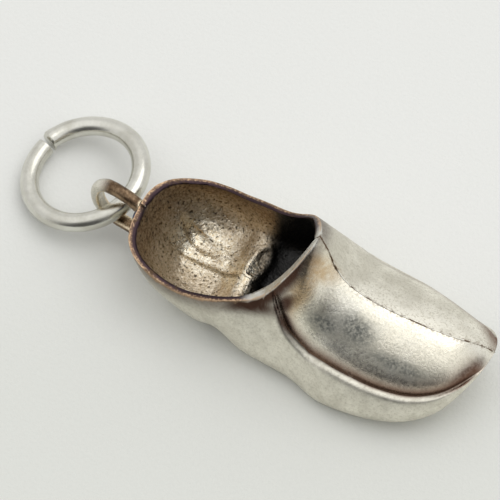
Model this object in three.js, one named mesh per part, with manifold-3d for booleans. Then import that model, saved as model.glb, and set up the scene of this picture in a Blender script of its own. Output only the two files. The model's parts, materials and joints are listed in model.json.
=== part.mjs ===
import * as THREE from 'three';
import { mergeVertices } from 'three/addons/utils/BufferGeometryUtils.js';
import { LoftGeometry } from 'three/addons/geometries/LoftGeometry.js';
import Module from 'manifold-3d';

// A hollow silver clog charm: two struck half shells soldered along a seam, a strip bail
// soldered to the heel, and an open jump ring that swings in the bail.
// Millimetres. +X runs from heel to toe, +Y is the shoe's left, +Z is up.
// X is counted from the cusp of the heel rim until the last lines move the origin.

// Driving dimensions of the shoe
const clogLength = 23.65;
const wall = 0.4;
const heelRimHeight = 4.6;
const sideRimHeight = 3.73;
const sideRimX = 4.6;
const lipX = 9.65;
const lipHeight = 5.6;
const throatX = 12.2;
const throatHeight = 10.1;
const heelTopHeight = 7.9;
const domeHeightOverHeel = 8.25;
const saddleX = 16.8;
const saddleHeight = 6.4;
const browBack = 2;
const browHeight = 5.35;
const toeTipHeight = 3.6;
const heelNearWidth = 4.27;
const heelFarWidth = 4.15;
const waistX = 8;
const waistNearWidth = 4.8;
const waistFarWidth = 3.7;
const ballNearWidth = 4.87;
const ballFarWidth = 5.45;
const toeFarWidth = 4.35;
const heelNearRound = 5.65;
const heelFarRound = 4.75;
const toeRound = 7.7;
const seamBow = 1.35;
const seamBowX = 18.2;
const throatBow = 0.45;
const browX = clogLength - browBack;

// Driving dimensions of the sole
const heelRake = 2.8;
const heelLean = 1.5;
const heelRestEnd = 5.4;
const archX = 7.1;
const archHeight = 0.9;
const ballRestStart = 8.6;
const ballRestEnd = 17.6;
const toeSpringBack = 2.1;
const toeSpringHeight = 1.07;
const filedOff = 0.12;
const toeSpringX = clogLength - toeSpringBack;

// The lip was left thick and filed flat, to past the throat; on the far side only by the throat
const lipThicker = 0.6;
const thickLipStart = 8.2;
const farThickLipStart = 10.6;
const thickLipRun = 1.4;

// The welt groove: the vamp rolls in over it, and the welt stands out under it.
// Its line is given by angles round the section, counted from the ridge.
const grooveStartX = 9.9;
const grooveLipX = 10.7;
const grooveBallX = 14.6;
const grooveStartAngle = 34;
const grooveLipAngle = 52;
const grooveThroatAngle = 67;
const grooveBallAngle = 60.7;
const grooveBrowAngle = 67;
const grooveFarDrop = 12;
const grooveDepth = 0.38;
const vampRoll = 1.3;
const weltRise = 0.3;
const grooveFade = 0.8;

// The solid metal at the toe, past the end of the hollow
const toeSolid = 1.1;

// Driving dimensions of the bail: a strip bent to a U and soldered to the heel
const stripWidth = 0.85;
const stripThickness = 0.65;
const bailReach = 3.65;
const bailRise = 0.4;
const bailFootHeight = 1.1;
const bailYaw = 9;
const bendLength = 1.25;
const legAlong = 0.4;
const legSagShare = 0.12;
const legDropShare = 0.6;
const solderGap = 0.05;
const solderRadius = 0.55;
const beadAside = 0.3;
const beadUnderRim = 0.62;

// Driving dimensions of the jump ring, which leans on the table
const wireDiameter = 1.2;
const ringRadius = 3.58;
const ringRise = 8.3;
const ringTwist = 39;
const ringGapAngle = 184;
const ringGap = 0.28;
const ringEndLift = 0.22;
const ringPlay = 0.15;
const wireEase = 0.56;

// Shares that round the long lines off between the named places
const heelRiseShare = 0.5;
const collarAlong = 0.26;
const collarDrop = 0.6;
const instepAlong = 0.5;
const instepDrop = 0.81;
const tipAlong = 0.6;
const tipDrop = 0.45;
const heelDipAlong = 0.5;
const heelDip = 0.72;
const lipRiseAlong = 0.55;
const lipRise = 0.54;
const bowStartAlong = 0.4;
const bowStart = 0.92;
const bowEndAlong = 0.62;
const bowEnd = 0.73;
const ballSettle = 0.3;
const farThroatShare = 0.5;
const farBallAlong = 0.32;
const farToeShare = 0.22;
const heelEndShare = 0.7;
const toeStartShare = 0.8;

// How full each round is in plan: 2 is an ellipse, more is squarer
const heelNearPower = 3.3;
const heelFarPower = 2.27;
const toeNearPower = 2.38;
const toeFarPower = 2.05;
const rakePower = 2.2;
// How the vamp rolls in: 1 is a flat bevel, more is rounder
const rollPower = 2.2;
// Sections narrower than this take the groove's rows as if they were this wide
const narrowestWidth = 1;

// How straight the section runs from the ridge to the chine: 0 is an ellipse, 1 a straight roof
const nearRoof = { heel: 0.1, lip: 0.72, throat: 0.42, saddle: 0.3, toe: 0.3 };
const farRoof = { heel: 0.39, lip: 0.2, throat: 0.54, saddle: 0.38, toe: 0.15 };
// The height of the chine, the widest level, as a share of the section's height
const chine = { heel: 0.4, side: 0.38, throat: 0.13, saddle: 0.24, toe: 0.3 };
// How round the bilge is under the chine: 1 is an ellipse, less is squarer
const bilge = { heel: 1.67, side: 0.62, throat: 0.55, saddle: 0.63, toe: 0.6 };

// Triangles along and around
const heelSteps = 13;
const sideSteps = 9;
const lipSteps = 13;
const vampSteps = 14;
const toeSteps = 12;
const vampRows = 6;
const rollRows = 5;
const weltRows = 2;
const wallRows = 4;
const bilgeRows = 8;
const bendSteps = 8;
const bailSteps = 26;
const stripSides = 8;
const beadSides = 16;
const beadRings = 10;
const ringSteps = 56;
const wireSides = 14;

const wasm = await Module();
wasm.setup();

const degrees = Math.PI / 180;
const weldDistance = 1e-4;
const halvings = 40;
const mix = (a, b, t) => a + (b - a) * t;
const clamp = (value, low, high) => Math.min(high, Math.max(low, value));

// A smooth line through hand-placed points, straight past its ends.
function lineThrough(points) {
  const slope = (i) => {
    const before = points[Math.max(i - 1, 0)];
    const after = points[Math.min(i + 1, points.length - 1)];
    return (after[1] - before[1]) / (after[0] - before[0]);
  };
  return (x) => {
    let i = 0;
    while (i < points.length - 2 && x > points[i + 1][0]) i += 1;
    const [x0, y0] = points[i];
    const [x1, y1] = points[i + 1];
    const span = x1 - x0;
    const t = clamp((x - x0) / span, 0, 1);
    const ease = t * t * (3 - 2 * t);
    const start = slope(i) * span * t * (1 - t) * (1 - t);
    const end = slope(i + 1) * span * t * t * (1 - t);
    return mix(y0, y1, ease) + start - end;
  };
}

// Where a rising function of one number reaches a goal, between low and high.
function solve(rising, goal, low, high) {
  let [from, to] = [low, high];
  for (let i = 0; i < halvings; i += 1) {
    const middle = (from + to) / 2;
    if (rising(middle) < goal) from = middle;
    else to = middle;
  }
  return (from + to) / 2;
}

// A rounded nose: 0 at the end, 1 once the round has run its length.
function nose(distance, length, power) {
  const t = clamp(1 - distance / length, 0, 1);
  return (1 - t ** power) ** (1 / power);
}

// The long lines of the shoe, each a height or a width against X
const seamLine = lineThrough([
  [0, 0],
  [throatX, -throatBow],
  [mix(throatX, seamBowX, bowStartAlong), -seamBow * bowStart],
  [seamBowX, -seamBow],
  [mix(seamBowX, clogLength, bowEndAlong), -seamBow * bowEnd],
  [clogLength, 0],
]);
const topLine = lineThrough([
  [0, heelTopHeight],
  [heelRake * heelRiseShare, mix(heelTopHeight, domeHeightOverHeel, heelRiseShare)],
  [sideRimX, domeHeightOverHeel],
  [lipX, throatHeight],
  [throatX, throatHeight],
  [mix(throatX, saddleX, collarAlong), mix(throatHeight, saddleHeight, collarDrop)],
  [mix(throatX, saddleX, instepAlong), mix(throatHeight, saddleHeight, instepDrop)],
  [saddleX, saddleHeight],
  [browX, browHeight],
  [mix(browX, clogLength, tipAlong), mix(browHeight, toeTipHeight, tipDrop)],
  [clogLength, toeTipHeight],
]);
const rimLine = lineThrough([
  [0, heelRimHeight],
  [sideRimX * heelDipAlong, mix(heelRimHeight, sideRimHeight, heelDip)],
  [sideRimX, sideRimHeight],
  [mix(sideRimX, lipX, lipRiseAlong), mix(sideRimHeight, lipHeight, lipRise)],
  [lipX, lipHeight],
  [throatX, throatHeight],
]);
const soleLine = lineThrough([
  [0, -filedOff],
  [heelRestEnd, -filedOff],
  [archX, archHeight],
  [ballRestStart, -filedOff],
  [mix(ballRestStart, ballRestEnd, ballSettle), -filedOff],
  [ballRestEnd, -filedOff],
  [toeSpringX, toeSpringHeight],
  [clogLength, toeTipHeight],
]);
const nearLine = lineThrough([
  [0, heelNearWidth],
  [sideRimX, heelNearWidth],
  [lipX, waistNearWidth],
  [saddleX, ballNearWidth],
  [clogLength, ballNearWidth],
]);
const farLine = lineThrough([
  [0, heelFarWidth],
  [sideRimX, heelFarWidth],
  [waistX, waistFarWidth],
  [throatX, mix(waistFarWidth, ballFarWidth, farThroatShare)],
  [mix(throatX, saddleX, farBallAlong), ballFarWidth],
  [saddleX, mix(ballFarWidth, toeFarWidth, farToeShare)],
  [clogLength, toeFarWidth],
]);
const roofLine = (roof) => lineThrough([
  [0, roof.heel],
  [sideRimX, roof.heel],
  [lipX, roof.lip],
  [throatX, roof.throat],
  [saddleX, roof.saddle],
  [clogLength, roof.toe],
]);
const sideLine = (share) => lineThrough([
  [0, share.heel],
  [sideRimX, share.side],
  [throatX, share.throat],
  [saddleX, share.saddle],
  [clogLength, share.toe],
]);
const nearStraightness = roofLine(nearRoof);
const farStraightness = roofLine(farRoof);
const chineShare = sideLine(chine);
const bilgeShare = sideLine(bilge);

const grooveAngleAt = lineThrough([
  [grooveStartX, grooveStartAngle],
  [grooveLipX, grooveLipAngle],
  [throatX, grooveThroatAngle],
  [grooveBallX, grooveBallAngle],
  [browX, grooveBrowAngle],
  [clogLength, grooveBrowAngle],
]);

// How much thicker than the wall the metal is at the lip.
function extraLip(x, near) {
  const start = clamp((x - (near ? thickLipStart : farThickLipStart)) / thickLipRun, 0, 1);
  const end = clamp((throatX + thickLipRun - x) / thickLipRun, 0, 1);
  return lipThicker * start * end;
}

// The lowest line of the outer skin, from the heel's rim down its back and along the sole.
function keelAt(x, inset) {
  const down = nose(Math.max(x - inset, 0), heelRake, rakePower);
  return mix(Math.min(rimLine(x), heelRimHeight), soleLine(x), down);
}

// The measures of one half section of the shoe at X, drawn in by an inset for the inner skin.
function sectionAt(x, side, inset) {
  const near = side < 0;
  const solid = inset > 0 ? toeSolid : 0;
  const toeEnd = clogLength - solid;
  const along = clamp(x, inset, toeEnd);
  const heelRound = near ? heelNearRound : heelFarRound;
  const heel = nose(along - inset, heelRound - inset, near ? heelNearPower : heelFarPower);
  const toe = nose(toeEnd - along, toeRound - solid, near ? toeNearPower : toeFarPower);
  const thick = inset > 0 ? inset + extraLip(x, near) : inset;
  const full = (near ? nearLine(x) : farLine(x)) - thick;
  const keel = keelAt(x, inset);
  const top = topLine(x);
  const middle = (top + keel) / 2;
  const section = {
    x,
    side,
    seam: seamLine(x),
    width: x <= inset || x >= toeEnd ? 0 : full * Math.min(heel, toe),
    top: Math.max(top - thick, middle),
    keel: inset > 0 ? Math.min(Math.max(keel, 0) + inset, middle) : keel,
    straight: near ? nearStraightness(x) : farStraightness(x),
    bilge: bilgeShare(x),
  };
  if (x <= inset && inset > 0) section.keel = Math.min(rimLine(x), heelRimHeight);
  section.chine = Math.min(mix(section.keel, section.top, chineShare(x)), rimLine(x));
  return section;
}

// A point on the upper arc, from the ridge at 0 degrees to the chine at 90.
function upperPoint(section, angle) {
  const out = mix(Math.sin(angle * degrees), angle / 90, section.straight);
  const up = mix(Math.cos(angle * degrees), 1 - angle / 90, section.straight);
  const y = section.seam + section.side * section.width * out;
  return new THREE.Vector3(section.x, y, mix(section.chine, section.top, up));
}

// A point on the lower arc, from the chine at 0 degrees to the keel at 90; the sole is filed flat.
function lowerPoint(section, angle) {
  const out = angle >= 90 ? 0 : Math.cos(angle * degrees) ** section.bilge;
  const down = Math.sin(angle * degrees) ** section.bilge;
  const y = section.seam + section.side * section.width * out;
  return new THREE.Vector3(section.x, y, Math.max(mix(section.chine, section.keel, down), 0));
}

// The back of the heel leans forward under its rim, less and less towards the lip.
function leaned(point) {
  const fade = 1 - clamp(point.x / lipX, 0, 1);
  const depth = 1 - clamp(point.z / heelRimHeight, 0, 1);
  point.x += heelLean * fade * fade * depth;
  return point;
}

// Where the back of the heel stands, in the middle plane, at one height.
function heelWallX(height) {
  const below = (x) => -leaned(new THREE.Vector3(x, 0, keelAt(x, 0))).z;
  const x = solve(below, -height, 0, heelRake);
  return leaned(new THREE.Vector3(x, 0, height)).x;
}

// The angle at which the upper arc meets the rim's height; 0 where the shoe is closed.
function rimAngle(section) {
  if (section.x >= throatX) return 0;
  const height = rimLine(section.x);
  if (height >= section.top) return 0;
  return solve((angle) => -upperPoint(section, angle).z, -height, 0, 90);
}

// The groove's angle round one section: it runs lower on the far side.
const grooveAngle = (section) => grooveAngleAt(section.x) + (section.side > 0 ? grooveFarDrop : 0);

// Millimetres along the skin for one degree round a section.
const skinPerDegree = (section) => Math.max(section.width, narrowestWidth) * degrees;

// How far the skin is sunk at one angle: the vamp rolls in to the groove, and the welt rises from it.
// The cut rim itself is not sunk.
function grooveSink(section, angle) {
  const off = (angle - grooveAngle(section)) * skinPerDegree(section);
  const start = clamp((section.x - grooveStartX) / grooveFade, 0, 1);
  const end = clamp((clogLength - section.x) / grooveFade, 0, 1);
  const narrow = clamp(section.width / grooveFade, 0, 1);
  const fromRim = (angle - rimAngle(section)) * skinPerDegree(section);
  const rim = section.x >= throatX ? 1 : clamp(fromRim / grooveFade, 0, 1);
  const across = off < 0 ? clamp(1 + off / vampRoll, 0, 1) ** rollPower : clamp(1 - off / weltRise, 0, 1);
  return grooveDepth * start * end * narrow * rim * across;
}

function sunkPoint(section, angle) {
  const point = upperPoint(section, angle);
  const sink = grooveSink(section, angle);
  point.y -= section.side * sink * Math.sin(angle * degrees);
  point.z -= sink * Math.cos(angle * degrees);
  return point;
}

function spread(from, to, count, ease) {
  return Array.from({ length: count }, (_, i) => mix(from, to, ease(i / count)));
}

const even = (t) => t;
const slowStart = (t) => t * t;
const slowEnd = (t) => 1 - (1 - t) ** 2;

const heelEndX = heelFarRound * heelEndShare;
const toeStartX = mix(saddleX, browX, toeStartShare);
const stations = [
  ...spread(0, heelEndX, heelSteps, slowStart),
  ...spread(heelEndX, lipX, sideSteps, even),
  ...spread(lipX, throatX, lipSteps, even),
  ...spread(throatX, toeStartX, vampSteps, even),
  ...spread(toeStartX, clogLength, toeSteps, slowEnd),
  clogLength,
];

// The angles of the rows round one section, closest together over the groove.
function rowAngles(section) {
  const rim = rimAngle(section);
  const groove = grooveAngle(section);
  const roll = Math.min(vampRoll / skinPerDegree(section), groove / 2);
  const welt = Math.min(weltRise / skinPerDegree(section), (90 - groove) / 2);
  const angles = [];
  for (let i = 0; i < vampRows; i += 1) angles.push(mix(Math.min(rim, groove), groove - roll, i / vampRows));
  for (let i = 0; i < rollRows; i += 1) angles.push(mix(groove - roll, groove, i / rollRows));
  for (let i = 0; i < weltRows; i += 1) angles.push(mix(groove, groove + welt, i / weltRows));
  for (let i = 0; i < wallRows; i += 1) angles.push(mix(groove + welt, 90, i / wallRows));
  return angles.map((angle) => clamp(angle, rim, 90));
}

// The skin of one half at X, from the rim or the ridge down to the keel, drawn in by an inset.
function skinRow(x, side, inset) {
  const section = sectionAt(x, side, inset);
  const row = rowAngles(section).map((angle) => sunkPoint(section, angle));
  for (let i = 0; i <= bilgeRows; i += 1) row.push(lowerPoint(section, (90 * i) / bilgeRows));
  return row.map(leaned);
}

const outerRow = (x, side) => skinRow(x, side, 0);
const innerRow = (x, side) => skinRow(x, side, wall).reverse();

// The corner of the section where the seam face meets the cut rim. Where the hollow is open it is
// the lip of the inner skin; in the solid metal at the heel and the throat it is on the seam.
function seamTop(x, side, outer, inner) {
  if (x >= throatX) return outer[0].clone();
  if (rimAngle(sectionAt(x, side, wall)) > 0) return inner[inner.length - 1].clone();
  return leaned(new THREE.Vector3(x, seamLine(x), rimLine(x)));
}

// Welds a geometry's shared corners and drops the faces that have no area.
function welded(geometry) {
  const bare = new THREE.BufferGeometry();
  bare.setAttribute('position', geometry.getAttribute('position'));
  bare.setIndex(geometry.getIndex());
  const merged = mergeVertices(bare, weldDistance);
  const index = merged.getIndex().array;
  const kept = [];
  for (let i = 0; i < index.length; i += 3) {
    const [a, b, c] = [index[i], index[i + 1], index[i + 2]];
    if (a !== b && b !== c && c !== a) kept.push(a, b, c);
  }
  merged.setIndex(kept);
  return merged;
}

function halfShell(side) {
  const sections = stations.map((x) => {
    const outer = outerRow(x, side);
    const inner = innerRow(x, side);
    const section = [...outer, ...inner, seamTop(x, side, outer, inner)];
    return side < 0 ? section : section.reverse();
  });
  return welded(new LoftGeometry(sections));
}

// The whole outer skin near the heel as one solid, to cut what is soldered on there.
function heelPlug() {
  const reach = stations.filter((x) => x <= heelFarRound);
  const sections = reach.map((x) => {
    const near = outerRow(x, -1);
    const far = outerRow(x, 1);
    far.reverse();
    return [...near, ...far];
  });
  return welded(new LoftGeometry(sections, { capEnd: true }));
}

function toSolid(geometry) {
  const bare = welded(geometry);
  const vertProperties = bare.getAttribute('position').array;
  const triVerts = new Uint32Array(bare.getIndex().array);
  return new wasm.Manifold(new wasm.Mesh({ numProp: 3, vertProperties, triVerts }));
}

function toGeometry(solid) {
  const mesh = solid.getMesh();
  const geometry = new THREE.BufferGeometry();
  geometry.setAttribute('position', new THREE.BufferAttribute(mesh.vertProperties, 3));
  geometry.setIndex(Array.from(mesh.triVerts));
  return geometry;
}

// Cuts a solid clear of the heel by a gap: the plug is taken out moved to each side in turn.
function clearOfHeel(solid, gap) {
  const plug = toSolid(heelPlug());
  const moves = [[-1, 0, 0], [0, -1, 0], [0, 1, 0], [0, 0, -1], [0, 0, 1]];
  return moves.reduce((rest, move) => rest.subtract(plug.translate(move.map((n) => n * gap))), solid);
}

// The bail: a half-round strip bent to a U that stands on edge behind the heel
const bailUpper = heelRimHeight + bailRise - stripThickness / 2;
const bendHalf = (bailUpper - bailFootHeight) / 2;
const bendStart = -(bailReach - stripThickness / 2 - bendLength);
const legSag = stripThickness * legSagShare;
const legDrop = stripThickness * legDropShare;

function bailPath() {
  const points = [new THREE.Vector3(0, 0, heelRimHeight - legDrop)];
  points.push(new THREE.Vector3(bendStart * legAlong, 0, bailUpper - legSag));
  for (let i = 0; i <= bendSteps; i += 1) {
    const turn = (Math.PI * i) / bendSteps;
    const x = bendStart - bendLength * Math.sin(turn);
    points.push(new THREE.Vector3(x, 0, bailFootHeight + bendHalf * (1 + Math.cos(turn))));
  }
  points.push(new THREE.Vector3(heelRake + heelLean, 0, bailFootHeight));
  return new THREE.CatmullRomCurve3(points, false, 'centripetal');
}

// A D-shaped strip section: flat inside, round outside.
function stripSection(centre, outward, grow) {
  const crown = 0.7;
  const flatShare = 0.9;
  const section = [];
  const across = new THREE.Vector3(0, 1, 0);
  const place = (side, out) => centre.clone().addScaledVector(across, side).addScaledVector(outward, out);
  const half = stripWidth / 2 + grow;
  const shoulder = stripThickness * (crown - 1 / 2);
  for (let i = 0; i <= stripSides; i += 1) {
    const turn = (Math.PI * i) / stripSides;
    const bulge = (stripThickness * crown + grow) * Math.sin(turn) ** crown;
    section.push(place(half * Math.cos(turn), bulge - shoulder));
  }
  const inner = -stripThickness / 2 - grow;
  section.push(place(-half * flatShare, inner));
  section.push(place(half * flatShare, inner));
  return section;
}

function bailStrip(grow) {
  const path = bailPath();
  const sections = [];
  for (let i = 0; i <= bailSteps; i += 1) {
    const t = i / bailSteps;
    const along = path.getTangentAt(t);
    const outward = new THREE.Vector3(along.z, 0, -along.x).normalize();
    sections.push(stripSection(path.getPointAt(t), outward, grow).reverse());
  }
  const strip = new LoftGeometry(sections, { capStart: true, capEnd: true });
  return strip.rotateZ(-bailYaw * degrees);
}

function bail() {
  return toGeometry(clearOfHeel(toSolid(bailStrip(0)), solderGap));
}

// A bead of solder at the foot of one bail leg, flat against the heel; it ran down the near side
function solderBead(height, aside) {
  const flatShare = 0.7;
  const wideShare = 1.3;
  const bead = new THREE.SphereGeometry(solderRadius, beadSides, beadRings);
  bead.scale(flatShare, wideShare, 1);
  bead.translate(heelWallX(height), -aside, height);
  bead.rotateZ(-bailYaw * degrees);
  return toGeometry(clearOfHeel(toSolid(bead), solderGap).subtract(toSolid(bailStrip(solderGap))));
}

// The jump ring: round wire, sawn open, threaded through the bail and leaning on the table
const wireRadius = wireDiameter / 2;
const wirePlace = bailReach - stripThickness - wireRadius - wireEase;
const ringPivot = new THREE.Vector3(
  -wirePlace * Math.cos(bailYaw * degrees),
  wirePlace * Math.sin(bailYaw * degrees),
  bailFootHeight + stripThickness / 2 + ringPlay + wireRadius,
);
const twist = ringTwist * degrees;
const rise = ringRise * degrees;
const ringTilt = Math.asin((ringPivot.z - wireRadius) / (ringRadius * (1 + Math.cos(twist))));
const uphill = new THREE.Vector3(Math.cos(rise), Math.sin(rise), Math.tan(ringTilt)).normalize();
const level = new THREE.Vector3(-Math.sin(rise), Math.cos(rise), 0);
const toPivot = uphill.clone().multiplyScalar(Math.cos(twist)).addScaledVector(level, -Math.sin(twist));
const ringAxis = uphill.clone().multiplyScalar(Math.sin(twist)).addScaledVector(level, Math.cos(twist));

function jumpRing() {
  const centre = ringPivot.clone().addScaledVector(toPivot, -ringRadius);
  const down = new THREE.Vector3().crossVectors(ringAxis, toPivot).normalize();
  const halfGap = ringGap / 2 / ringRadius;
  const ringLiftShare = 0.2;
  const sections = [];
  for (let i = 0; i <= ringSteps; i += 1) {
    const t = i / ringSteps;
    const turn = ringGapAngle * degrees + halfGap + t * (2 * Math.PI - 2 * halfGap);
    const out = toPivot.clone().multiplyScalar(Math.cos(turn)).addScaledVector(ringAxis, Math.sin(turn));
    const lift = ringEndLift * Math.max(0, 1 - (1 - t) / ringLiftShare) ** 2;
    const middle = centre.clone().addScaledVector(out, ringRadius).addScaledVector(down, -lift);
    const section = [];
    for (let j = 0; j < wireSides; j += 1) {
      const round = (2 * Math.PI * j) / wireSides;
      section.push(
        middle
          .clone()
          .addScaledVector(out, wireRadius * Math.cos(round))
          .addScaledVector(down, wireRadius * Math.sin(round)),
      );
    }
    sections.push(section);
  }
  return welded(new LoftGeometry(sections, { capStart: true, capEnd: true }));
}

const group = new THREE.Group();

function addPiece(name, geometry, material) {
  const mesh = new THREE.Mesh(geometry, material);
  mesh.name = name;
  group.add(mesh);
}

const silver = (color, roughness) => new THREE.MeshStandardMaterial({ color, roughness, metalness: 1 });

addPiece('right_half_shell', halfShell(-1), silver(0xc9c3b4, 0.28));
addPiece('left_half_shell', halfShell(1), silver(0xb4b0a4, 0.42));
addPiece('bail', bail(), silver(0x9a8468, 0.4));
addPiece('upper_solder_bead', solderBead(heelRimHeight - beadUnderRim, beadAside), silver(0x6a6a72, 0.35));
addPiece('lower_solder_bead', solderBead(bailFootHeight, 0), silver(0x5d5046, 0.4));
addPiece('jump_ring', jumpRing(), silver(0xdcdad4, 0.15));

// The origin is in the middle of the flat under the ball of the foot.
group.position.x = -mix(ballRestStart, ballRestEnd, 0.5);

export default group;
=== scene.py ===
# %% [markdown]
# # A silver clog charm
# A charm the size of a fingertip: a hollow clog struck from silver sheet in two halves, a strip bail
# soldered to its heel, and a sawn jump ring. The solids come in as a fixed frame. This lesson puts a
# skin on them: smooth shells, solder, wire, and the tarnish that years in a drawer leave behind. Blender
# counts in metres and a charm is measured in millimetres, so MM stands for one millimetre.

# %% Load the frame
import json
import math

import bpy
import numpy as np
from mathutils import Matrix, Vector
from mathutils.kdtree import KDTree

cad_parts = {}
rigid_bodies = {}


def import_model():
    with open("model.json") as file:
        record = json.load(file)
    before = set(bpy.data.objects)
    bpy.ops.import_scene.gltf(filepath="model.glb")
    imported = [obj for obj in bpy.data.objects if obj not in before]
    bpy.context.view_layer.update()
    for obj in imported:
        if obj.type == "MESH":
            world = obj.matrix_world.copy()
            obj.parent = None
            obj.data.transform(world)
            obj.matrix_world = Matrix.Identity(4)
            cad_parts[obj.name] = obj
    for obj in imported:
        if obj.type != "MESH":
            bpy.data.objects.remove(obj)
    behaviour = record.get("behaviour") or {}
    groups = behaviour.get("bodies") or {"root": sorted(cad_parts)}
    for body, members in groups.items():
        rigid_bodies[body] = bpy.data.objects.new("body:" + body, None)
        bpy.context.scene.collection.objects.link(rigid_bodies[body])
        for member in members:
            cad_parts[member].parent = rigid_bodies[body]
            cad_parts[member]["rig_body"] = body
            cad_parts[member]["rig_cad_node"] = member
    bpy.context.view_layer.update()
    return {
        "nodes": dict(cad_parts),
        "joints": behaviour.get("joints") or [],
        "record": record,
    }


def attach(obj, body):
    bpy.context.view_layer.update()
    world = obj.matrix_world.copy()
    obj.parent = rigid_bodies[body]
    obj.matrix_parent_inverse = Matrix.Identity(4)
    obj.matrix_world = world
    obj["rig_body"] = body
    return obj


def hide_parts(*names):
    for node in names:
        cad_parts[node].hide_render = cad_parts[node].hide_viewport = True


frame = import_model()
bpy.ops.object.select_all(action="DESELECT")
MM = 0.001
print("nodes:", sorted(frame["nodes"]))

# %% [markdown]
# ## The camera
# The photo looks down on the charm at 60 degrees, from its right side and a little from the toe. A long
# lens far away keeps both ends of the charm at one scale. The image is 500 pixels wide and shows 16.3
# pixels for each millimetre of the charm, and that gives the focal length.

# %% Camera
image_pixels = 500
pixels_per_mm = 16.3
sensor_mm = 36.0
camera_turn = math.radians(24.6)
camera_height = math.radians(60.0)
camera_distance = 400 * MM
aim = Vector((-6.27, 1.17, 2.0)) * MM
toward_camera = Vector(
    (
        math.sin(camera_turn) * math.cos(camera_height),
        -math.cos(camera_turn) * math.cos(camera_height),
        math.sin(camera_height),
    )
)
bpy.ops.object.camera_add(
    location=aim + toward_camera * camera_distance,
    rotation=(math.pi / 2 - camera_height, 0, camera_turn),
)
camera = bpy.context.object
camera.data.sensor_width = sensor_mm
camera.data.lens = sensor_mm * camera_distance / (image_pixels / pixels_per_mm * MM)
camera.data.clip_start = 10 * MM
camera.data.clip_end = 20.0
bpy.context.scene.camera = camera
print("focal length:", round(camera.data.lens), "mm")

# %% [markdown]
# ## Helpers for work in edit mode
# Each operator acts on what is selected. So one helper makes a piece the only selected object, another
# runs a job in edit mode on all of it and comes back, and a third runs a job on chosen points, edges or
# faces alone.

# %% Helpers for operators
def only(piece):
    bpy.ops.object.select_all(action="DESELECT")
    piece.select_set(True)
    bpy.context.view_layer.objects.active = piece


def edit(piece, job):
    only(piece)
    bpy.ops.object.mode_set(mode="EDIT")
    bpy.ops.mesh.select_mode(type="VERT")
    bpy.ops.mesh.select_all(action="SELECT")
    job()
    bpy.ops.object.mode_set(mode="OBJECT")


def edit_some(piece, kind, wanted, job):
    def nothing_selected():
        bpy.ops.mesh.select_mode(type=kind)
        bpy.ops.mesh.select_all(action="DESELECT")

    edit(piece, nothing_selected)
    mesh = piece.data
    elements = {"VERT": mesh.vertices, "EDGE": mesh.edges, "FACE": mesh.polygons}[kind]
    for i in wanted:
        elements[i].select = True
    bpy.ops.object.mode_set(mode="EDIT")
    job()
    bpy.ops.object.mode_set(mode="OBJECT")


def apply_modifiers(piece):
    only(piece)
    for modifier in list(piece.modifiers):
        bpy.ops.object.modifier_apply(modifier=modifier.name)


# %% [markdown]
# ## Helpers for points
# Wear, tarnish and dents depend on where a point lies. So some helpers read all points of a piece as
# one table and move them, which never takes a point below the table top. Others measure how far points
# lie from a line, turn that into a share that fades from 1 to 0, and store it under a name.

# %% Helpers for points
line_spacing = 0.05 * MM


def points_of(piece):
    flat = np.empty(len(piece.data.vertices) * 3)
    piece.data.vertices.foreach_get("co", flat)
    return flat.reshape(-1, 3)


def normals_of(piece):
    flat = np.empty(len(piece.data.vertices) * 3)
    piece.data.vertices.foreach_get("normal", flat)
    return flat.reshape(-1, 3)


def move_points(piece, points):
    points[:, 2] = np.maximum(points[:, 2], 0)
    piece.data.vertices.foreach_set("co", points.reshape(-1))
    piece.data.update()


def store(piece, name, values):
    attribute = piece.data.attributes.new(name, "FLOAT", "POINT")
    attribute.data.foreach_set("value", np.asarray(values, np.float32))


def nearest(points, targets):
    tree = KDTree(len(targets))
    for i, target in enumerate(targets):
        tree.insert(target, i)
    tree.balance()
    found = [tree.find(p) for p in points]
    return np.array([f[2] for f in found]), np.array([f[1] for f in found])


def distance_to(points, targets):
    return nearest(points, targets)[0]


def smooth_step(values, low, high):
    t = np.clip((values - low) / (high - low), 0, 1)
    return t * t * (3 - 2 * t)


def fade_in(lengths, from_mm, to_mm):
    return smooth_step(lengths, from_mm * MM, to_mm * MM)


def fade_out(lengths, from_mm, to_mm):
    return 1 - fade_in(lengths, from_mm, to_mm)


def fill_in(line):
    lengths = np.r_[0, np.cumsum(np.linalg.norm(np.diff(line, axis=0), axis=1))]
    steps = np.linspace(0, lengths[-1], int(lengths[-1] / line_spacing) + 2)
    return np.stack([np.interp(steps, lengths, line[:, i]) for i in range(3)], axis=1)


# %% [markdown]
# ## Landmarks on the solids: the rim
# Wear and tarnish follow the shape: the rim is rubbed bright, dirt stays in the welt groove, and the
# hollow is black with painted shadow towards the toe. So the lines that they follow are found first, on
# the solids' own triangles. The cut face of the rim is where an edge runs level across the wall, from the
# outer skin to the inner one. Behind the hollow such edges run across the solid heel, so the inner lines
# leave those stations out.

# %% The cut face of the rim
same_place = 0.004 * MM
rim_lowest = 3.0 * MM
rim_ends_at = -0.85 * MM
narrowest_face = 0.15 * MM
widest_face = 3.5 * MM
heel_wall_thickness = 0.45 * MM


def triangles_of(node):
    mesh = frame["nodes"][node].data
    mesh.calc_loop_triangles()
    corners = np.empty(len(mesh.loop_triangles) * 3, np.int32)
    mesh.loop_triangles.foreach_get("vertices", corners)
    return points_of(frame["nodes"][node])[corners].reshape(-1, 3, 3)


near_triangles = triangles_of("right_half_shell")
far_triangles = triangles_of("left_half_shell")


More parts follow.
